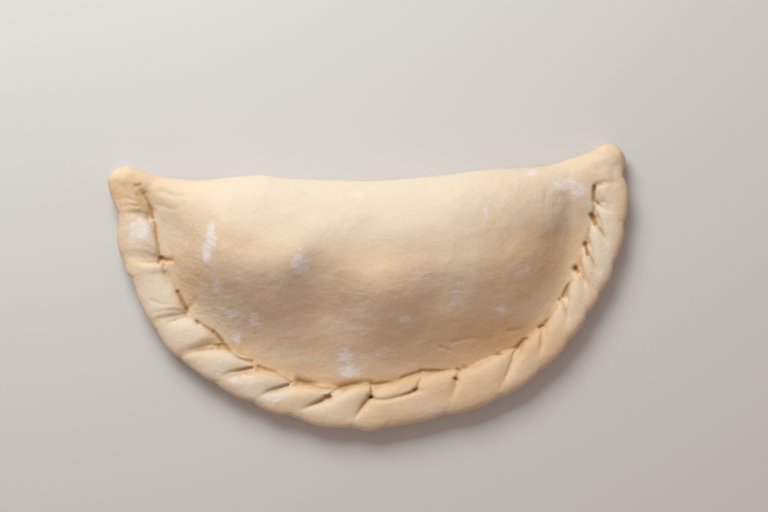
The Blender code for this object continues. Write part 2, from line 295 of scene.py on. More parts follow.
def named(label):
    """A number that the points of a mesh carry under this name."""
    kind = "GeometryNodeInputNamedAttribute"
    return Wire(add_node(crimp_tree, kind, {"data_type": "FLOAT"}, {"Name": label}).outputs[0])


def object_mesh(wire):
    settings = {"transform_space": "ORIGINAL"}
    info = add_node(crimp_tree, "GeometryNodeObjectInfo", settings, {0: wire})
    return Wire(info.outputs["Geometry"])


print("crimp inputs:", ", ".join(crimp_sizes))

# %% Which fold, and how far through it
ROUNDING = 1e-4  # so that a ring on a crease counts as the first one of its fold

grid = add_node(crimp_tree, "GeometryNodeMeshGrid", (), {
    "Size X": 1.0,
    "Size Y": 1.0,
    "Vertices X": size["Folds"] * size["Rings per fold"] + 1,
    "Vertices Y": size["Points round"],
})
place = add_node(crimp_tree, "GeometryNodeInputPosition")
place = add_node(crimp_tree, "ShaderNodeSeparateXYZ", (), {0: Wire(place.outputs[0])})
through = (Wire(place.outputs["X"]) + 0.5) * size["Folds"]
fold = (through + ROUNDING).math("FLOOR").math("MINIMUM", size["Folds"] - 1)
phase = 0.5 - 0.5 * ((through - fold) * math.pi).math("COSINE")


def at_crease(label, index):
    """A number of the crease marks, looked up by the crease's number."""
    return index.node("GeometryNodeSampleIndex", {"data_type": "FLOAT"}, {
        "Geometry": object_mesh(size["Crease marks"]),
        "Value": named(label),
        "Index": index,
    })


def through_fold(label):
    start = at_crease(label, fold)
    return start + (at_crease(label, fold + 1) - start) * phase


run = through_fold("run")
depth = through_fold("depth")
slant = through_fold("slant")
reach = through_fold("reach")
print("folds:", crimp_sizes["Folds"])

# %% The section, between a circle and a square
OUTER_SIDE = (-0.3, 0.5)  # across the section: -1 is beside the filling, 1 is the outer edge
LOWER_HALF = (-0.5, 0.0)  # up the section: -1 is its bottom, 1 is its top

turn = (Wire(place.outputs["Y"]) + 0.5) * (2 * math.pi) - math.pi / 2
across = turn.math("COSINE")
up = turn.math("SINE")
squarer = size["Outer squareness"] - size["Inner squareness"]
power = size["Inner squareness"] + across.smooth(*OUTER_SIDE) * squarer * up.smooth(*LOWER_HALF)
roundness = across.math("ABSOLUTE") ** power + up.math("ABSOLUTE") ** power
to_square = roundness ** (-1.0 * power ** -1.0)
across = across * to_square
up = up * to_square
print("section: nodes so far", len(crimp_tree.nodes))

# %% Full between creases, drawn in at them
REACH_SOFTNESS = 1.15
CREASED_ABOVE = (-0.9, 0.1)
INNER_BULGE = 0.8
USUAL_FULLNESS = 0.6

belly = ((phase ** size["Skew"]) * 2.0 - 1.0).math("ABSOLUTE")
fullness = (1.0 - belly ** size["Fullness"]).math("MAXIMUM", 0.0) ** (size["Fullness"] ** -1.0)
crease_share = across.smooth(reach, reach - REACH_SOFTNESS) * up.smooth(*CREASED_ABOVE)
drawn_in = depth * (1.0 - fullness) * crease_share
bulge = across.math("MAXIMUM", 0.0) + across.math("MINIMUM", 0.0) * INNER_BULGE
swell = size["Swell"] * (fullness - USUAL_FULLNESS) * bulge
print("folds and creases: nodes so far", len(crimp_tree.nodes))


# %% Along the rim, past its ends where the slant asks for it
def on_rim(distance):
    """Place, heading and half width of the rim at a distance along it."""
    line = object_mesh(size["Rim line"])
    curve = add_node(crimp_tree, "GeometryNodeMeshToCurve", (), {"Mesh": line})
    sample = add_node(crimp_tree, "GeometryNodeSampleCurve", {
        "data_type": "FLOAT", "mode": "LENGTH", "use_all_curves": True,
    }, {
        "Curves": Wire(curve.outputs[0]),
        "Value": named("half_width"),
        "Length": distance,
    })
    return [Wire(sample.outputs[name]) for name in ("Position", "Tangent", "Value")]


print("slants lean back by up to", max(slant for _, _, slant, _ in CREASES), "rope widths")

# %% Where each point of the grid goes
SLANT_BEND = 0.8  # below 1, a crease slants most near the filling
INNER_WALL = (0.3, -0.8)
PUSHED_OUT = 0.9  # of a crease's depth, away from the filling
FOOT_DEPTH = 3 * MM  # below the floor, where the rope is flat in the end

half_width = on_rim(run)[2]
to_end = run.math("MINIMUM", size["Rim length"] - run) / half_width
end_share = (1.0 - (1.0 - to_end.math("MINIMUM", 1.0)) ** 2.0).math("SQRT")
across_share = ((across + 1.0) / 2.0).math("MAXIMUM", 0.0)
leant = run - slant * half_width * 2.0 * across_share**SLANT_BEND
held = leant.math("MAXIMUM", 0.0).math("MINIMUM", size["Rim length"])
centre, heading, half_width = on_rim(held)
outside = heading.vector("CROSS_PRODUCT", (0.0, 0.0, 1.0))
outwards = half_width * across + swell + drawn_in * across.smooth(*INNER_WALL) * PUSHED_OUT
above = up * ((size["Height"] - size["Waist"]) * end_share - drawn_in)
below = up * (size["Waist"] + FOOT_DEPTH)
level = size["Waist"] + above.math("MAXIMUM", 0.0) + below.math("MINIMUM", 0.0)
lift = level.node("ShaderNodeCombineXYZ", (), {"Z": level.math("MAXIMUM", 0.0)})
spot = centre.vector("ADD", lift)
spot = spot.vector("ADD", outside.vector("SCALE", Scale=outwards * end_share))
spot = spot.vector("ADD", heading.vector("SCALE", Scale=leant - held))
print("places: nodes so far", len(crimp_tree.nodes))

# %% Bend the grid and close the tube
TOUCHING = 0.02 * MM

bent = spot.node("GeometryNodeSetPosition", (), {
    "Geometry": Wire(grid.outputs["Mesh"]), "Position": spot,
})
closed = bent.node("GeometryNodeMergeByDistance", (), {"Geometry": bent, "Distance": TOUCHING})
finish_tree(crimp_tree, closed, size["Dough"])
crimp_base = put_in_scene("crimp_base", bpy.data.meshes.new("crimp_base"))
crimp_mesh = grow(crimp_tree, crimp_base, crimp_sizes)
for helper in (crimp_base, rim_line, crease_marks):
    bpy.data.objects.remove(helper, do_unlink=True)
print("crimp:", len(crimp_mesh.polygons), "faces")

# %% [markdown]
# The filled body. Its upper face is a height over the plan. Two curves from left to right rule it:
# the foot, where the filling ends and the two layers lie flat on each other, and the crest, where
# the slope up from the foot levels off. Lumps show where the filling pushes up or sinks, and a
# ridge runs out to each horn. The fold at the back is a roll that overhangs its own foot. A height
# alone can't overhang, so the body is a loft: sections fan out from the back fold to the rim, and
# each one rolls over and tucks under.

# %% The height of the mound over the plan
MOUND_HEIGHT = 36.5 * MM
SKIRT_HEIGHT = 8.5 * MM
FOOT = [
    (-120, 10), (-110, -2), (-104, -9), (-98, -14), (-93, -18), (-85, -25), (-78, -30), (-70, -35),
    (-58, -41), (-44, -47.5), (-30, -51.5), (-7, -55), (17, -54.5), (38, -52), (55, -49), (70, -44),
    (82, -37), (91, -28), (99, -17), (105, -6), (109, 4), (112, 14),
]
CREST = [
    (-120, 22), (-104, 20), (-93, 20), (-80, 21), (-62, 17), (-45, 17), (-28, 26), (-12, 15),
    (0, 11), (20, 12), (36, 15), (50, 17), (66, 18), (80, 19), (92, 22), (100, 24), (106, 27), (112, 32),
]
MOUND_LEFT = (-116 * MM, -72 * MM)  # x where the filling begins, and where it is full
MOUND_RIGHT = (40 * MM, 108 * MM)  # x where it is full, and where it ends
RIGHT_END_SOFTNESS = 0.08
LUMPS = [  # x, y, radius and height, in mm
    (-50, 11, 18, 3.0), (9, -4, 20, 4.0), (-37, 14, 11, 1.4), (33, 38, 20, 1.0),
    (38, -4, 10, -1.2), (-24, 27, 14, 1.6), (-14, -13, 17, -2.4), (100, 35, 8, 3.0),
]
LUMPS_FULL_FROM = 0.5
MOUND_SAMPLES = 200
# Two ends, radius and height, in mm
RIDGES = [((-131, 58), (-92, 47), 16, 12.6), ((128, 59), (86, 42), 20, 14.6)]


def smoothstep(low, high, value):
    share = np.clip((value - low) / (high - low), 0.0, 1.0)
    return share * share * (3.0 - 2.0 * share)


ruling_lines = [smooth_curve(np.array(line) * MM, MOUND_SAMPLES)[1] for line in (FOOT, CREST)]


def filled_length(x):
    """1 along the filled middle, running down to 0 at both ends."""
    start, end = MOUND_RIGHT
    domed = 1.0 - (np.maximum(x - start, 0.0) / (end - start)) ** 2
    domed = (domed + np.sqrt(domed**2 + RIGHT_END_SOFTNESS**2)) / 2
    return smoothstep(*MOUND_LEFT, x) * np.minimum(domed, 1.0)


def ridge_rise(x, y, ridge):
    """Rise of the thick ridge that runs out to a horn: its ends, its radius and its height."""
    start, end, radius, height = (np.array(part) * MM for part in ridge)
    span = end - start
    along = np.clip(((x - start[0]) * span[0] + (y - start[1]) * span[1]) / (span @ span), 0, 1)
    away = np.hypot(x - start[0] - along * span[0], y - start[1] - along * span[1])
    return (height - SKIRT_HEIGHT) * np.exp(-((away / radius) ** 2))


def mound_top(x, y):
    """Height of the dough's upper face, before the fold at the back rolls it down."""
    foot, crest = (np.interp(x, *line.T) for line in ruling_lines)
    filled = smoothstep(foot, crest, y) * filled_length(x)
    ridge = np.maximum(*(ridge_rise(x, y, ridge) for ridge in RIDGES))
    height = SKIRT_HEIGHT + (MOUND_HEIGHT - SKIRT_HEIGHT) * filled + ridge * (1.0 - filled)
    on_filling = np.minimum(1.0, filled / LUMPS_FULL_FROM)
    for lump_x, lump_y, radius, rise in np.array(LUMPS) * MM:
        away = ((x - lump_x) ** 2 + (y - lump_y) ** 2) / radius**2
        height = height + rise * np.exp(-away) * on_filling
    return height


print("mound in mm:", round(float(mound_top(0.0, 14 * MM)) / MM, 1))

# %% Sections from the back fold to the rim
BACK_EDGE = [
    (-133, 61.5), (-117, 60), (-96, 57), (-74, 58.5), (-56, 59.5), (-42, 57.5), (-10, 56.5),
    (22, 57.5), (44, 60), (66, 63), (87, 64), (104, 67), (120, 72.5), (130, 74),
]
BACK_ROLL = 37 * MM
HORN_ROLL = 9 * MM
BACK_WAIST = 0.36
BACK_TUCK = 7 * MM
MOST_ROLL = 0.6  # of a section's length, and so is the next one
MOST_TUCK = 0.3
CROWDED_AT_BACK = 1.5
TIP_INSET = 8 * MM
BODY_SECTIONS = 260
TOP_POINTS = 120
UNDER_POINTS = 14


def rim_place(run):
    return np.column_stack([np.interp(run, rim_run, rim[:, i]) for i in (0, 1)])


def body_section(back, front):
    """One closed section: over the fold, down the mound to the rim, and back under."""
    depth = math.hypot(*(front - back))
    roll = HORN_ROLL + (BACK_ROLL - HORN_ROLL) * filled_length(back[0])
    roll = min(roll, MOST_ROLL * depth)
    tuck = min(BACK_TUCK, MOST_TUCK * depth)
    waist = BACK_WAIST * mound_top(*(back + (front - back) * roll / depth))
    share = np.linspace(0.0, 1.0, TOP_POINTS)[:, None] ** CROWDED_AT_BACK
    upper = back + (front - back) * share
    into_roll = np.clip(share[:, 0] * depth / roll, 0.0, 1.0)
    upper_z = waist + (mound_top(*upper.T) - waist) * np.sqrt(1.0 - (1.0 - into_roll) ** 2)
    turn = np.linspace(math.pi / 2, 0.0, UNDER_POINTS, endpoint=False)[:, None]
    under = back + (front - back) * tuck / depth * (1.0 - np.cos(turn))
    under_z = waist * (1.0 - np.sin(turn[:, 0]))
    return np.column_stack([np.vstack([upper, front, under]), [*upper_z, 0.0, *under_z]])


_, back_line = smooth_curve([(x * MM, y * MM) for x, y in BACK_EDGE], BODY_SECTIONS)
front_line = rim_place(np.linspace(TIP_INSET, rim_length - TIP_INSET, BODY_SECTIONS))
body_rings = [body_section(*ends) for ends in zip(back_line, front_line)]
print("sections:", len(body_rings), "of", len(body_rings[0]), "points")


# %% A skin over rings of points
def skin(name, rings):
    """A closed mesh over rings of points, with flat ends, faces outwards."""
    points = np.vstack(rings)
    count = len(rings[0])
    around = np.arange(count)
    after = (around + 1) % count
    faces = []
    for row in range(len(rings) - 1):
        low, high = row * count, (row + 1) * count
        corners = np.column_stack([low + around, low + after, high + after, high + around])
        faces.extend(corners.tolist())
    faces.append(around.tolist())
    faces.append((len(points) - count + around).tolist())
    mesh = bpy.data.meshes.new(name)
    mesh.from_pydata(points.tolist(), [], faces)
    turned = bmesh.new()
    turned.from_mesh(mesh)
    bmesh.ops.recalc_face_normals(turned, faces=turned.faces)
    turned.to_mesh(mesh)
    turned.free()
    return mesh


body_mesh = skin("filled_body", body_rings)
print("body:", len(body_mesh.polygons), "faces")

# %% [markdown]
# The horns. At each end the fold and the crimp meet in a fat rounded tip. A short roll of dough
# with a radius that changes along it fills the tip out, and a second one at the right is the
# last pinch, which was folded over on to the crimp.

# %% Short rolls of dough
ROLLS = {  # x, y, level and radius, in mm
    "left_horn": [(-129.8, 56, 6.8, 8.8), (-124, 54.5, 6.4, 8.0), (-114, 52, 4.5, 7.0)],
    "right_horn": [(130, 67.5, 6.8, 9.2), (123, 64.5, 6.6, 8.2), (113, 60.5, 4.5, 7.2)],
    "right_thumb": [(127.5, 66, 7.0, 8.4), (128.3, 58, 7.2, 8.6), (128.8, 50, 6.6, 8.5)],
}
ROLL_RINGS = 40
ROLL_POINTS = 32
ROLL_END_BENDS = np.radians(np.linspace(85, 5, 9))


def roll_rings(stations):
    """Rings along points that each have a level and a radius, with rounded ends."""
    _, spine = smooth_curve(np.array(stations) * MM, ROLL_RINGS)
    turn = np.linspace(0.0, 2 * math.pi, ROLL_POINTS, endpoint=False)
    ahead = spine[-1, :2] - spine[0, :2]
    ahead = ahead / math.hypot(*ahead)
    side = np.array([-ahead[1], ahead[0]])
    stops = [(spine[0], -math.sin(bend), math.cos(bend)) for bend in ROLL_END_BENDS]
    stops += [(row, 0.0, 1.0) for row in spine]
    stops += [(spine[-1], math.sin(bend), math.cos(bend)) for bend in ROLL_END_BENDS[::-1]]
    rings = []
    for (x, y, level, radius), forwards, girth in stops:
        sideways = radius * girth * np.cos(turn)[:, None]
        plan = np.array([x, y]) + radius * forwards * ahead + sideways * side
        height = np.maximum(level + radius * girth * np.sin(turn), 0.0)
        rings.append(np.column_stack([plan, height]))
    return rings


roll_meshes = [skin(name, roll_rings(stations)) for name, stations in ROLLS.items()]
print("rolls:", ", ".join(ROLLS))

# %% [markdown]
# One skin. The pieces overlap, and dough has no seams where they do. A voxel remesh wraps them all
# in a single closed skin, fine enough to keep the creases, and a few passes of smoothing round the
# corners off as soft dough would.

# %% Fuse and smooth
VOXEL = 0.6 * MM
SMOOTHING = 0.5
SMOOTH_PASSES = 4


def with_modifier(mesh, kind, **settings):
    """The mesh after one modifier."""
    carrier = put_in_scene("carrier", mesh)
    modifier = carrier.modifiers.new(kind, kind)
    for name, value in settings.items():
        setattr(modifier, name, value)
    graph = bpy.context.evaluated_depsgraph_get()
    changed = bpy.data.meshes.new_from_object(carrier.evaluated_get(graph))
    bpy.data.objects.remove(carrier, do_unlink=True)
    return changed


def points_of(mesh):
    flat = np.empty(3 * len(mesh.vertices))
    mesh.vertices.foreach_get("co", flat)
    return flat.reshape(-1, 3)


def move_points(mesh, points):
    mesh.vertices.foreach_set("co", points.ravel())
    mesh.update()


heap = bmesh.new()
for mesh in (body_mesh, crimp_mesh, *roll_meshes):
    heap.from_mesh(mesh)
heap_mesh = bpy.data.meshes.new("heap")
heap.to_mesh(heap_mesh)
heap.free()
skin_mesh = with_modifier(heap_mesh, "REMESH", mode="VOXEL", voxel_size=VOXEL)
skin_mesh = with_modifier(skin_mesh, "SMOOTH", factor=SMOOTHING, iterations=SMOOTH_PASSES)
points = points_of(skin_mesh)
middle = (points.min(axis=0) + points.max(axis=0)) / 2
shift = (np.array(part_low) + np.array(part_high)) / 2 - middle
shift[2] = 0.0
move_points(skin_mesh, points + shift)
print("skin:", len(skin_mesh.vertices), "points, moved by", np.round(shift / MM, 2), "mm")

# %% [markdown]
# Tucks and pits. The tree's creases are even, and fingers aren't. Where a pinch was pushed under
# the one before it, a short deep line is left, often with a small hole at its inner end. Each of
# these is one stroke pressed into the skin: a line, how wide it is, and how deep. Their places
# are read off the photo in its pixels, so one helper says where each point of the skin is seen.
# After them the skin is thinned, mostly where it is flat.

# %% Where a point is seen in the photo
PIXEL = 0.5405 * MM
PHOTO_MIDDLE = (384, 256)
CAMERA_X, CAMERA_Y = 8.65 * MM, 16.5 * MM
CAMERA_HEIGHT = 850 * MM
SHARP_LEVEL = 6.5 * MM


def seen_places(points):
    """The photo's pixel for each point, from the camera straight above."""
    nearer = (CAMERA_HEIGHT - SHARP_LEVEL) / (CAMERA_HEIGHT - points[:, 2])
    return np.column_stack([
        PHOTO_MIDDLE[0] + (points[:, 0] - CAMERA_X) * nearer / PIXEL,
        PHOTO_MIDDLE[1] - (points[:, 1] - CAMERA_Y) * nearer / PIXEL,
    ])


def line_distance(places, line):
    """Distance of each place from a line of points, and how far along the line that is, 0 to 1."""
    best = np.full(len(places), np.inf)
    along = np.zeros(len(places))
    line = np.array(line, float)
    steps = np.hypot(*np.diff(line, axis=0).T)
    done = 0.0
    for start, end, step in zip(line, line[1:], steps):
        span = end - start
        share = np.clip((places - start) @ span / (span @ span), 0.0, 1.0)
        away = np.hypot(*(places - start - share[:, None] * span).T)
        nearer = away < best
        best = np.where(nearer, away, best)
        along = np.where(nearer, (done + share * step) / steps.sum(), along)
        done += step
    return best, along


print("camera in mm:", [round(side / MM, 1) for side in (CAMERA_X, CAMERA_Y, CAMERA_HEIGHT)])

# %% The strokes
STROKES = [  # half width in pixels, depth in mm, share of it left at the line's end, and the line
    # Left horn: its tuck, the pouch beside it, and the crease under it
    (1.8, 1.5, 0.4, [(152, 217), (151, 209), (147, 200), (142, 192), (139, 186)]),
    (1.8, 0.5, 0.2, [(136, 194), (139, 203), (146, 211), (152, 217)]),
    (5.5, 1.6, 1.0, [(141, 194), (145, 203), (150, 211)]),
    (1.8, 0.8, 1.0, [(136, 185), (140, 184)]),
    (2.6, 0.9, 0.2, [(153, 217), (146, 213), (137, 211), (128, 212), (119, 213)]),
    (1.6, 0.5, 0.2, [(138, 205), (128, 204), (119, 207)]),
    (1.5, 0.4, 0.2, [(136, 200), (126, 197), (114, 199)]),
    # Down the left side
    (1.5, 0.9, 0.5, [(152, 216), (155, 226), (156, 238), (158, 249), (160, 257)]),
    (2.6, 2.6, 0.5, [(160, 257.5), (165, 259), (171, 259.5)]),
    (2.2, 1.0, 0.1, [(160, 257), (150, 256), (142, 256)]),
    (6.0, 1.0, 0.8, [(157, 256), (140, 256), (120, 257)]),
    (1.4, 0.5, 0.2, [(158, 252), (148, 246), (137, 243)]),
    (1.4, 0.5, 0.2, [(157, 255), (146, 252), (132, 250)]),
    (1.5, 1.0, 0.3, [(163, 264), (163.5, 270)]),
    (1.5, 0.3, 1.0, [(166, 270), (172, 279), (177, 291)]),
    (1.8, 1.5, 1.0, [(177, 291), (182, 301), (186, 309)]),
    (2.2, 1.6, 1.0, [(185.5, 308), (186.5, 310)]),
    (3.0, 0.9, 0.1, [(186, 309), (193, 302), (200, 292)]),
    (1.8, 0.9, 0.6, [(187, 312), (180, 313.5), (173, 315), (164, 316), (156, 317.5)]),
    (5.0, 0.8, 0.8, [(175, 314), (160, 319), (148, 323)]),
    (2.0, 0.7, 0.3, [(184, 311), (174, 309), (162, 310), (152, 312)]),
    (1.6, 0.4, 0.2, [(150, 299), (160, 303), (172, 304)]),
    # Towards the bottom
    (2.0, 1.8, 1.0, [(196, 321), (198, 323)]),
    (1.7, 0.9, 1.0, [(198, 322), (205, 326), (213, 331)]),
    (1.9, 1.5, 1.0, [(213, 331), (217, 335), (222, 341)]),
    (1.8, 1.3, 0.3, [(225, 345), (218, 344.5), (211, 344), (203, 345), (190, 349)]),
    (4.5, 1.0, 0.6, [(212, 342), (196, 347), (182, 353)]),
    (1.8, 1.6, 1.0, [(222, 343), (230, 351), (240, 358), (251, 361)]),
    (1.5, 0.5, 1.0, [(246, 359), (255, 364)]),
    (1.6, 1.6, 0.0, [(252, 367), (243, 369), (231, 371), (226, 373), (214, 379)]),
    (1.7, 1.1, 1.0, [(258, 366), (266, 369), (275, 372), (284, 377), (291, 382)]),
    (1.6, 1.6, 0.0, [(288, 384), (278, 387), (268, 390), (263, 393), (252, 399)]),
    (1.8, 1.5, 0.7, [(299, 380.5), (304, 382.5), (312, 384.5), (322, 388)]),
    (2.2, 2.4, 1.0, [(325, 396), (329, 396)]),
    (1.8, 1.9, 0.0, [(329, 395.5), (320, 400), (311, 404), (299, 410)]),
    (1.7, 1.3, 0.8, [(329, 394), (336, 389), (344, 385.5), (353, 383.5), (371, 384)]),
    (3.4, 1.9, 1.0, [(298, 380), (312, 384), (324, 389), (336, 388), (352, 383.5), (371, 383)]),
    # The tongue and the deepest pits
    (2.5, 3.2, 1.0, [(369, 396.5), (372, 397)]),
    (1.8, 1.2, 1.0, [(371, 386), (371, 392), (370, 397)]),
    (2.0, 1.6, 0.1, [(370, 397), (364, 402), (359, 410), (354, 419)]),
    (1.9, 1.8, 0.2, [(371, 397), (376, 399), (382, 399.5)]),
    (2.6, 0.9, 1.0, [(378, 399), (386, 399), (394, 397), (402, 395)]),
    (1.9, 2.0, 0.2, [(415, 390), (408, 393), (400, 395.5), (392, 397.5)]),
    (2.4, 1.5, 1.0, [(371, 384), (380, 383), (391, 382.5)]),
    (2.2, 1.5, 0.7, [(391, 382.5), (398, 380), (406, 375.5), (420, 371)]),
    (2.2, 2.6, 1.0, [(414, 390), (416.5, 388.5)]),
    (1.6, 1.2, 0.4, [(416, 389), (418, 383), (421, 377)]),
    (1.4, 0.7, 0.2, [(417, 391), (425, 389)]),
    # Right of the bottom
    (1.8, 1.2, 1.0, [(420, 370), (430, 370), (440, 370.5), (450, 369.5), (458, 369)]),
    (1.9, 1.8, 1.0, [(457, 369), (460, 370)]),
    (1.8, 2.4, 1.0, [(455, 378), (456, 379)]),
    (4.0, 1.2, 0.3, [(456, 381), (455, 388), (452, 396)]),
    (1.6, 0.7, 1.0, [(458, 371), (457, 375), (455.5, 379)]),
    (2.2, 0.6, 0.8, [(463, 367), (470, 368), (478, 366), (486, 361), (494, 356)]),
    (2.0, 1.6, 1.0, [(497, 354.5), (502, 354)]),
    (1.5, 0.5, 1.0, [(501, 354), (508, 351), (515, 346)]),
    (2.4, 1.5, 0.2, [(517, 347), (513, 353), (511, 360), (508, 368), (504, 378), (499, 387)]),
    (6.0, 1.0, 0.3, [(512, 354), (507, 366), (500, 380)]),
    (2.0, 1.6, 0.8, [(518, 345), (523, 340), (528, 338)]),
    (1.5, 0.5, 1.0, [(528, 338), (534, 333), (539, 329)]),
    (2.3, 2.4, 1.0, [(540, 327), (543, 325.5)]),
    (2.0, 0.9, 0.0, [(541, 328), (541, 338), (540, 350), (536, 362)]),
    # Up the right side
    (1.8, 1.2, 0.6, [(545, 322), (550, 317), (555, 309), (560, 300)]),
    (2.2, 1.3, 0.0, [(560, 299), (564, 306), (567, 315), (567, 326)]),
    (2.0, 1.7, 0.6, [(563, 296), (566, 289), (568, 285), (572, 280)]),
    (2.6, 3.2, 1.0, [(575.5, 267), (578, 271)]),
    (2.8, 1.6, 0.0, [(578, 271), (585, 279), (592, 289), (596, 300)]),
    (1.5, 1.0, 0.3, [(576, 269), (571, 268)]),
    (1.5, 0.4, 1.0, [(579, 262), (582, 255), (584, 249)]),
    (2.0, 2.6, 1.0, [(585, 243), (587, 250), (588, 254)]),
    (2.6, 1.5, 0.0, [(588, 253), (593, 261), (598, 270), (601, 281)]),
    (1.5, 0.3, 1.0, [(586, 240), (588, 232), (590.5, 224)]),
    (2.1, 2.6, 1.0, [(591.5, 214), (594, 219), (595.5, 223)]),
    (2.6, 1.4, 0.0, [(596, 224), (601, 230), (607, 238), (610, 247)]),
    (1.6, 0.8, 1.0, [(593, 213), (594, 206), (593, 200)]),
    (2.0, 2.6, 0.6, [(594.5, 186), (594, 192), (594, 197)]),
    (2.6, 1.2, 0.0, [(594, 199), (600, 205), (608, 209), (618, 211)]),
    (3.0, 1.1, 0.3, [(596, 184), (604, 182), (616, 181)]),
    # Stretch marks and slack folds on the filled part
    (2.4, 0.5, 0.2, [(440, 346), (451, 350), (458, 353)]),
    (2.4, 0.4, 0.2, [(452, 341), (472, 337), (490, 338)]),
    (2.0, 0.4, 0.2, [(508, 330), (525, 328)]),
    (3.0, 0.25, 0.2, [(557, 196), (555, 208), (558, 222)]),
    (2.6, 0.25, 0.2, [(546, 190), (543, 204), (546, 216)]),
    (3.0, 0.6, 0.2, [(160, 190), (176, 196), (196, 193), (206, 187)]),
    (2.6, 0.4, 0.2, [(158, 204), (172, 208), (186, 203)]),
]
print("strokes:", len(STROKES))

# %% Press the strokes in, and thin the skin
UPPER_SIDE = (1.5 * MM, 4.5 * MM)  # height where the upper side begins, and where it is all upper
DARK_WALL_SHIFT = (0.5, 1.0)  # pixels; a groove shows dark on the side nearer the light
FELT_WITHIN = 2.5  # half widths
CROSSING_SHARE = 0.35  # of the shallower stroke, where two cross
MOST_TRIANGLES = 186_000


def near_stroke(places, line, width, end_share):
    """The places close to a line, and how close: 1 on it, fading to its sides and to its end."""
    corners = np.array(line)
    low = corners.min(axis=0) - FELT_WITHIN * width
    high = corners.max(axis=0) + FELT_WITHIN * width
    inside = np.all((places > low) & (places < high), axis=1)
    away, along = line_distance(places[inside], line)
    fading = 1.0 + (end_share - 1.0) * smoothstep(0.0, 1.0, along)
    return inside, np.exp(-((away / width) ** 2)) * fading


def triangles_of(mesh):
    return len(mesh.loops) - 2 * len(mesh.polygons)


def press_strokes(mesh):
    """Sink the upper side of the skin along every stroke."""
    points = points_of(mesh)
    places = seen_places(points) - DARK_WALL_SHIFT
    sink = np.zeros(len(points))
    upper = smoothstep(*UPPER_SIDE, points[:, 2])
    for half_width, stroke_depth, end_share, line in STROKES:
        inside, share = near_stroke(places, line, half_width, end_share)
        pressed = stroke_depth * MM * share
        deeper = np.maximum(sink[inside], pressed)
        sink[inside] = deeper + CROSSING_SHARE * np.minimum(sink[inside], pressed)
    points[:, 2] -= sink * upper
    move_points(mesh, points)
    return sink.max()


print("deepest stroke in mm:", round(press_strokes(skin_mesh) / MM, 1))
skin_mesh = with_modifier(skin_mesh, "SMOOTH", factor=SMOOTHING, iterations=1)
whole = triangles_of(skin_mesh)
skin_mesh = with_modifier(skin_mesh, "DECIMATE", ratio=min(1.0, MOST_TRIANGLES / whole))
print("skin:", whole, "triangles thinned to", triangles_of(skin_mesh))

# %% [markdown]
# Soft dough is never even. A second tree swells and dents the skin a little along its normals with
# noise, more on the upper side than where it rests. It also stores how hollow the skin is at each
# point: the skin is blurred, and where the blurred skin lies outside the real one, there is a
# crease. That is done twice, with little blur for creases and with much for the wide nook beside
# the rope. The material uses both numbers to paint warm, dark shade into the dough there.

# %% Unevenness and hollows
relief_sizes = {
    "Broad dents": 0.9 * MM,
    "Broad scale": 42.0,
    "Small dents": 0.28 * MM,
    "Small scale": 150.0,
    "Resting height": 3.0 * MM,
    "Hollow width": 12,
    "Nook width": 90,
    "Dough": dough,
}
relief_tree, size = shape_tree("dough_relief", relief_sizes)
place = Wire(add_node(relief_tree, "GeometryNodeInputPosition").outputs[0])
facing = Wire(add_node(relief_tree, "GeometryNodeInputNormal").outputs[0])
height = Wire(add_node(relief_tree, "ShaderNodeSeparateXYZ", (), {0: place}).outputs["Z"])
print("relief inputs:", ", ".join(relief_sizes))


# %% Swell, dent, and measure the hollows
def noise(place, scale, detail=2.0, roughness=0.5, distortion=0.0):
    return place.node("ShaderNodeTexNoise", {"noise_dimensions": "3D"}, {
        "Vector": place, "Scale": scale, "Detail": detail,
        "Roughness": roughness, "Distortion": distortion,
    })


broad = (noise(place, size["Broad scale"]) - 0.5) * size["Broad dents"]
small = (noise(place, size["Small scale"]) - 0.5) * size["Small dents"]
# Noise strays by a half at most, so twice that is a full dent
swelling = (broad + small) * height.smooth(0.0, size["Resting height"]) * 2.0
push = facing.vector("SCALE", Scale=swelling)
entry = next(n for n in relief_tree.nodes if n.bl_idname == "NodeGroupInput")
stage = push.node("GeometryNodeSetPosition", (), {
    "Geometry": Wire(entry.outputs["Geometry"]), "Offset": push,
})
for label, width in (("hollow", size["Hollow width"]), ("nook", size["Nook width"])):
    blurred = place.node("GeometryNodeBlurAttribute", {"data_type": "FLOAT_VECTOR"}, {
        "Value": place, "Iterations": width,
    })
    depth_here = blurred.vector("SUBTRACT", place).vector("DOT_PRODUCT", facing)
    stage = stage.node("GeometryNodeStoreNamedAttribute", {
        "data_type": "FLOAT", "domain": "POINT",
    }, {
        "Geometry": stage, "Name": label, "Value": depth_here / MM,
    })
finish_tree(relief_tree, stage, size["Dough"])
carrier = put_in_scene("relief_base", skin_mesh)
skin_mesh = grow(relief_tree, carrier, relief_sizes)
bpy.data.objects.remove(carrier, do_unlink=True)
for label in ("hollow", "nook"):
    depths = np.empty(len(skin_mesh.vertices))
    skin_mesh.attributes[label].data.foreach_get("value", depths)
    print(label, "in mm, at its deepest:", round(float(depths.max()), 1))

# %% Flat underside
RESTING_BELOW = 0.5 * MM

points = points_of(skin_mesh)
points[:, 2] = np.where(points[:, 2] < RESTING_BELOW, 0.0, points[:, 2])
move_points(skin_mesh, points)
skin_mesh.shade_smooth()
calzone = put_in_scene("calzone_dough", skin_mesh)
print("flat points:", int(np.sum(points[:, 2] == 0.0)))
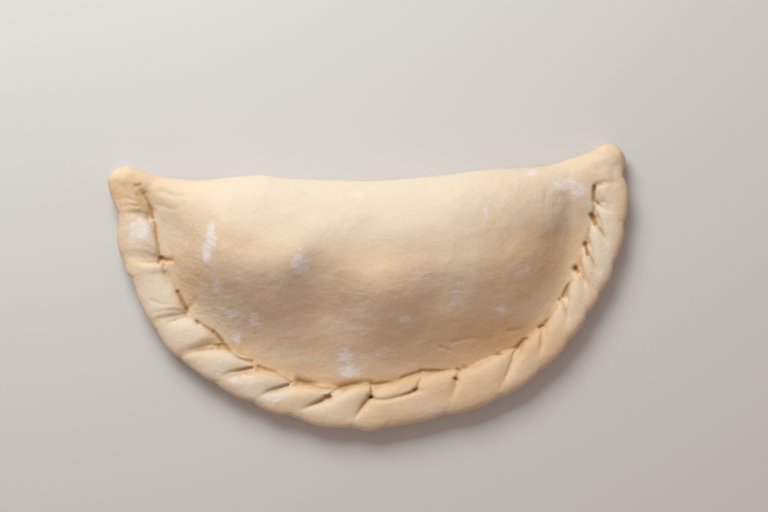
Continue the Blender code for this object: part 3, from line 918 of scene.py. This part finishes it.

# %% [markdown]
# Flour, and where there is none. The fold at the back and the tops of the pinches were handled
# with floured hands, so a thin film makes them paler; over the back fold, which faces the light,
# the same film is also painted highlight. Over that lie patches where flour stuck, white and
# matte. Other spots stayed moist and are darker; those in the pits and along the nook beside the
# rope are painted shade as well. Some are finely wrinkled. Each kind is stored on the skin's
# points as a number, drawn from a short list of soft spots, and the material breaks it up with
# noise. The narrow tucks get a number too, for painted shade, because no light reaches in.

# %% Floured, moist and wrinkled spots, with painted highlight and shade
# Pale flour film; over the back fold, which faces the light, it is also painted highlight
FILM_AND_HIGHLIGHT = [  # pixel x and y, half sizes in pixels, and amount, as in the lists below
    (350, 190, 190, 60, 0.9), (150, 235, 26, 34, 0.7), (158, 292, 20, 30, 1.0),
    (182, 330, 30, 20, 0.8), (222, 364, 32, 18, 0.8), (265, 390, 32, 16, 0.75),
    (320, 405, 40, 18, 0.2), (600, 260, 14, 30, 0.3),
    (600, 235, 18, 60, 0.85), (605, 165, 18, 18, 0.5), (520, 185, 70, 36, 0.55),
    (170, 235, 15, 40, 0.5), (225, 315, 40, 30, 0.6), (575, 300, 22, 30, 0.5),
    (560, 212, 28, 26, 0.6),
]
PATCHES = [
    (211, 238, 6, 17, 1.1), (206, 253, 5, 12, 1.1), (300, 265, 10, 12, 1.1), (301, 255, 6, 8, 0.7),
    (139, 230, 16, 13, 1.0), (133, 222, 13, 6, 0.5), (202, 286, 4, 7, 0.8), (217, 287, 5, 7, 1.1),
    (233, 314, 8, 5, 1.1), (254, 320, 6, 9, 1.0), (237, 338, 5, 8, 1.0), (230, 296, 6, 9, 0.5),
    (345, 357, 8, 8, 1.2), (349, 371, 14, 8, 1.0), (340, 342, 4, 10, 0.4), (243, 381, 16, 7, 0.7),
    (272, 399, 14, 6, 0.6), (341, 200, 12, 6, 0.5), (358, 194, 10, 5, 0.6), (486, 211, 4, 9, 0.8),
    (506, 197, 8, 7, 0.6), (566, 185, 16, 8, 0.9), (578, 191, 9, 10, 0.9), (532, 173, 7, 4, 0.8),
    (452, 293, 9, 8, 0.5), (460, 304, 9, 7, 0.5), (501, 310, 8, 6, 0.8), (405, 319, 8, 5, 0.8),
    (384, 352, 16, 8, 0.5), (523, 270, 14, 7, 0.5), (500, 280, 16, 6, 0.35), (427, 275, 12, 8, 0.4),
    (365, 330, 16, 7, 0.3), (197, 229, 4, 6, 0.5), (172, 234, 8, 7, 0.4), (235, 255, 9, 12, 0.35),
    (405, 296, 16, 6, 0.3), (330, 222, 16, 7, 0.35), (216, 304, 26, 26, 0.3),
    (246, 326, 20, 16, 0.35), (200, 268, 18, 18, 0.4), (182, 232, 14, 16, 0.35),
]
# Moist spots; those in the pits and along the nook beside the rope are painted shade
MOIST_AND_SHADED = [
    (500, 338, 50, 20, 1.0), (548, 250, 14, 40, 0.5), (455, 356, 36, 10, 0.5),
    (285, 372, 45, 9, 0.6), (334, 383, 44, 7, 1.0), (143, 200, 10, 16, 1.0),
    (166, 259, 12, 5, 1.0), (225, 345, 30, 8, 0.6), (250, 362, 24, 6, 0.6),
    (396, 380, 30, 7, 0.9), (470, 362, 30, 8, 0.6), (448, 385, 54, 18, 0.5), (124, 189, 17, 13, 0.6),
]
WRINKLED = [
    (222, 315, 42, 40, 1.0), (192, 262, 20, 50, 0.7), (290, 355, 60, 24, 0.5),
    (575, 290, 20, 30, 0.4), (535, 262, 30, 30, 0.5), (140, 200, 26, 30, 0.6),
]
print("spots:", len(FILM_AND_HIGHLIGHT), "film,", len(PATCHES), "flour,", len(MOIST_AND_SHADED), "moist,", len(WRINKLED), "wrinkled")

# %% Numbers on the skin's points
SPOT_EDGE = 1.5  # half sizes from a spot's middle, and so is the next one
SPOT_CORE = 0.35
NARROW = 2.7  # pixels, the half width of the widest stroke that counts as a tuck
TUCK_WIDTH = 1.4  # pixels
FULL_TUCK = 2.4 * MM
FLOURED_ABOVE = (2 * MM, 7 * MM)


def soft_spots(places, spots):
    """The amount of the strongest spot at each place."""
    total = np.zeros(len(places))
    for x, y, half_x, half_y, amount in spots:
        away = np.hypot((places[:, 0] - x) / half_x, (places[:, 1] - y) / half_y)
        total = np.maximum(total, amount * smoothstep(SPOT_EDGE, SPOT_CORE, away))
    return total


def tucked(places):
    """How deep in a narrow tuck each place lies, 0 to 1."""
    total = np.zeros(len(places))
    for half_width, stroke_depth, end_share, line in STROKES:
        if half_width < NARROW:
            inside, share = near_stroke(places, line, TUCK_WIDTH, end_share)
            darkness = min(1.0, stroke_depth * MM / FULL_TUCK)
            total[inside] = np.maximum(total[inside], share * darkness)
    return total


def store(mesh, name, values):
    mesh.attributes.new(name, "FLOAT", "POINT").data.foreach_set("value", values)


points = points_of(skin_mesh)
places = seen_places(points)
upper = smoothstep(*FLOURED_ABOVE, points[:, 2])
store(skin_mesh, "film", soft_spots(places, FILM_AND_HIGHLIGHT) * upper)
store(skin_mesh, "patches", soft_spots(places, PATCHES) * upper)
store(skin_mesh, "moist", soft_spots(places, MOIST_AND_SHADED))
store(skin_mesh, "wrinkled", soft_spots(places, WRINKLED) * upper)
store(skin_mesh, "tucked", tucked(places) * upper)
print("numbers stored:", ", ".join(a.name for a in skin_mesh.attributes if a.data_type == "FLOAT"))

# %% [markdown]
# The look of raw dough. It is cream and slightly uneven, warmer where it is moist, and it lets a
# little light in, which softens every shadow. Shade is also painted into its colour, warm and dark,
# in the creases, the tucks and the nook beside the rope, and a paler film over the lit back fold is
# flour and painted highlight at once. Flour is whiter and rougher, with a faint lilac tint of
# painted shade.
# All colours are mixed from the numbers stored on the skin and from noise in its own place, so
# the pattern belongs to the dough and stays put from every side.

# %% Helpers for colours
dough.use_nodes = True
look = dough.node_tree
shader = look.nodes["Principled BSDF"]


def stored_number(label):
    return Wire(add_node(look, "ShaderNodeAttribute", {"attribute_name": label}).outputs["Fac"])


def rgb(red, green, blue):
    return (red, green, blue, 1.0)


BARE_DOUGH = rgb(0.72, 0.58, 0.43)
WARM_DOUGH = rgb(0.705, 0.52, 0.35)
# Floured film colour, also painted highlight on the lit back fold
FLOURED_DOUGH_AND_HIGHLIGHT = rgb(0.71, 0.62, 0.50)
# Moist dough, also painted shade in the pits and the nook
MOIST_AND_SHADED_DOUGH = rgb(0.645, 0.43, 0.235)
# Painted shade for the nook beside the rope, the creases and the narrow tucks
NOOK_PAINTED_SHADE = rgb(0.66, 0.45, 0.235)
CREASE_PAINTED_SHADE = rgb(0.52, 0.33, 0.15)
TUCK_PAINTED_SHADE = rgb(0.30, 0.16, 0.06)
# Flour, its white greyed to lilac as painted shade
FLOUR_WITH_SHADE_TINT = rgb(0.80, 0.75, 0.77)
print("look:", dough.name)

# %% Noise of several sizes
spot = Wire(add_node(look, "ShaderNodeTexCoord").outputs["Object"])
streaky = spot.node("ShaderNodeMapping", (), {"Vector": spot, "Scale": (0.8, 1.3, 1.0)})
cloudy = noise(spot, scale=26.0, detail=3.0)
mottled = noise(spot, scale=110.0, detail=4.0, roughness=0.6)
flecks = noise(spot, scale=210.0, detail=3.0, roughness=0.55, distortion=0.6)
torn = noise(streaky, scale=360.0, detail=5.0, roughness=0.65)
grain = noise(spot, scale=420.0, detail=4.0, roughness=0.6)
pores = noise(spot, scale=1500.0, detail=2.0)
print("noise in the look:", sum(n.bl_idname == "ShaderNodeTexNoise" for n in look.nodes))

# %% How much of each layer there is
CREASE_DEPTHS = (0.13, 0.5)  # mm of hollow where a crease begins to show, and where it shows fully
NOOK_DEPTHS = (0.15, 1.6)
FILM_AND_HIGHLIGHT_MOTTLING = 0.5
FILM_AND_HIGHLIGHT_CLOUDING = 0.6
FILM_AND_HIGHLIGHT_RANGE = (0.1, 1.0)
TEARING = 2.4
LOST_IN_CREASES = 0.4
FLOUR_RANGE = (0.25, 1.15)
FLOUR_BORDER = (0.0, 0.15)

wrinkled = stored_number("wrinkled")
creased = stored_number("hollow").smooth(*CREASE_DEPTHS)
in_nook = stored_number("nook").smooth(*NOOK_DEPTHS)
film = stored_number("film") + (mottled - 0.5) * FILM_AND_HIGHLIGHT_MOTTLING + (cloudy - 0.5) * FILM_AND_HIGHLIGHT_CLOUDING
film = film.smooth(*FILM_AND_HIGHLIGHT_RANGE)
stuck = stored_number("patches")
flour = (stuck + (torn - 0.5) * TEARING - creased * LOST_IN_CREASES).smooth(*FLOUR_RANGE)
flour = flour * stuck.smooth(*FLOUR_BORDER)
print("layers: nodes so far", len(look.nodes))


# %% Colours, one laid over the other
def laid_over(below, above, share, most=1.0):
    """A colour with another laid over it: share says where, and most says how thickly."""
    return share.node("ShaderNodeMix", {"data_type": "RGBA", "clamp_factor": True}, {
        "Factor_Float": share * most, "A_Color": below, "B_Color": above,
    })


colour = laid_over(BARE_DOUGH, WARM_DOUGH, cloudy.smooth(0.35, 0.65))
# Moist dough; in the pits and along the nook beside the rope it is painted shade
colour = laid_over(colour, MOIST_AND_SHADED_DOUGH, stored_number("moist"), most=0.85)
colour = laid_over(colour, MOIST_AND_SHADED_DOUGH, wrinkled * flecks.smooth(0.52, 0.40), most=0.32)
# Flour film, which is painted highlight as well where it covers the lit back fold
colour = laid_over(colour, FLOURED_DOUGH_AND_HIGHLIGHT, film)
# Painted shade, warm and dark, in the wide nook and in the creases
colour = laid_over(colour, NOOK_PAINTED_SHADE, in_nook, most=0.75)
colour = laid_over(colour, CREASE_PAINTED_SHADE, creased, most=0.75)
# Painted shade in the narrow tucks, where no light reaches
colour = laid_over(colour, TUCK_PAINTED_SHADE, stored_number("tucked"), most=0.8)
# Flour patches, whose lilac tint is painted shade
colour = laid_over(colour, FLOUR_WITH_SHADE_TINT, flour, most=0.75)
look.links.new(colour.socket, shader.inputs["Base Color"])
print("colours linked")

# %% Roughness, skin texture and softness
BARE_ROUGHNESS = 0.58
ROUGHER_UNDER_FLOUR = 0.3
ROUGHER_UNDER_FILM = 0.1

rough = flour * ROUGHER_UNDER_FLOUR + film * ROUGHER_UNDER_FILM + BARE_ROUGHNESS
look.links.new(rough.socket, shader.inputs["Roughness"])
relief_shares = [(grain, 0.8), (pores, 0.2), (mottled, 0.8), (wrinkled * flecks, 1.6), (flour, 0.4)]
relief = sum(part * share for part, share in relief_shares)
bump = relief.node("ShaderNodeBump", (), {
    "Strength": 0.4, "Distance": 0.9 * MM, "Height": relief,
})
look.links.new(bump.socket, shader.inputs["Normal"])
shader.inputs["Subsurface Weight"].default_value = 0.15
shader.inputs["Subsurface Radius"].default_value = (1.0, 0.65, 0.4)
shader.inputs["Subsurface Scale"].default_value = 2.5 * MM
shader.inputs["IOR"].default_value = 1.4
print("dough finished")

# %% [markdown]
# Floor, light and camera. The floor is plain and pale. The photo's light comes from behind and a
# little from the left, as from a window close by: the fold is bright, the front slope is dim and
# the crimp lies in between. So the key is one soft square light, near enough to fall off across
# the piece, and a warm, even light from all sides fills the shadows.

# %% Floor
bpy.ops.mesh.primitive_plane_add(size=6.0)
floor = bpy.context.active_object
floor.name = "floor"
pale = bpy.data.materials.new("pale_floor")
pale.use_nodes = True
pale_shader = pale.node_tree.nodes["Principled BSDF"]
pale_shader.inputs["Base Color"].default_value = rgb(0.62, 0.62, 0.63)
pale_shader.inputs["Roughness"].default_value = 0.85
floor.data.materials.append(pale)
print("floor in m:", round(floor.dimensions.x, 1))


# %% Light
def softbox(name, azimuth, elevation, distance, side, power, colour):
    """A square light aimed at the object; azimuth is counted from the back towards the left."""
    lamp = bpy.data.lights.new(name, "AREA")
    lamp.size = side
    lamp.energy = power
    lamp.color = colour
    turn, rise = math.radians(azimuth), math.radians(elevation)
    made = put_in_scene(name, lamp)
    made.location = (
        -math.sin(turn) * math.cos(rise) * distance,
        math.cos(turn) * math.cos(rise) * distance,
        math.sin(rise) * distance,
    )
    made.rotation_euler = (-made.location).to_track_quat("-Z", "Y").to_euler()
    return made


window = softbox(
    "window", azimuth=22, elevation=42, distance=1.0, side=0.5, power=9.3, colour=(0.95, 0.995, 0.96)
)
world = bpy.data.worlds.new("studio")
world.use_nodes = True
fill = world.node_tree.nodes["Background"]
fill.inputs["Color"].default_value = rgb(1.0, 0.80, 0.71)
fill.inputs["Strength"].default_value = 0.40
bpy.context.scene.world = world
bpy.context.scene.view_settings.view_transform = "Standard"
print("light at, in m:", [round(side, 2) for side in window.location])

# %% Camera
camera = bpy.data.cameras.new("camera")
frame_width = 2 * PHOTO_MIDDLE[0] * PIXEL
camera.sensor_width = 36.0
camera.lens = camera.sensor_width * (CAMERA_HEIGHT - SHARP_LEVEL) / frame_width
camera_object = put_in_scene("camera", camera)
camera_object.location = (CAMERA_X, CAMERA_Y, CAMERA_HEIGHT)
bpy.context.scene.camera = camera_object
print("camera lens in mm:", round(camera.lens, 1))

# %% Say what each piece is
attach(calzone, "root")
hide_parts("calzone")
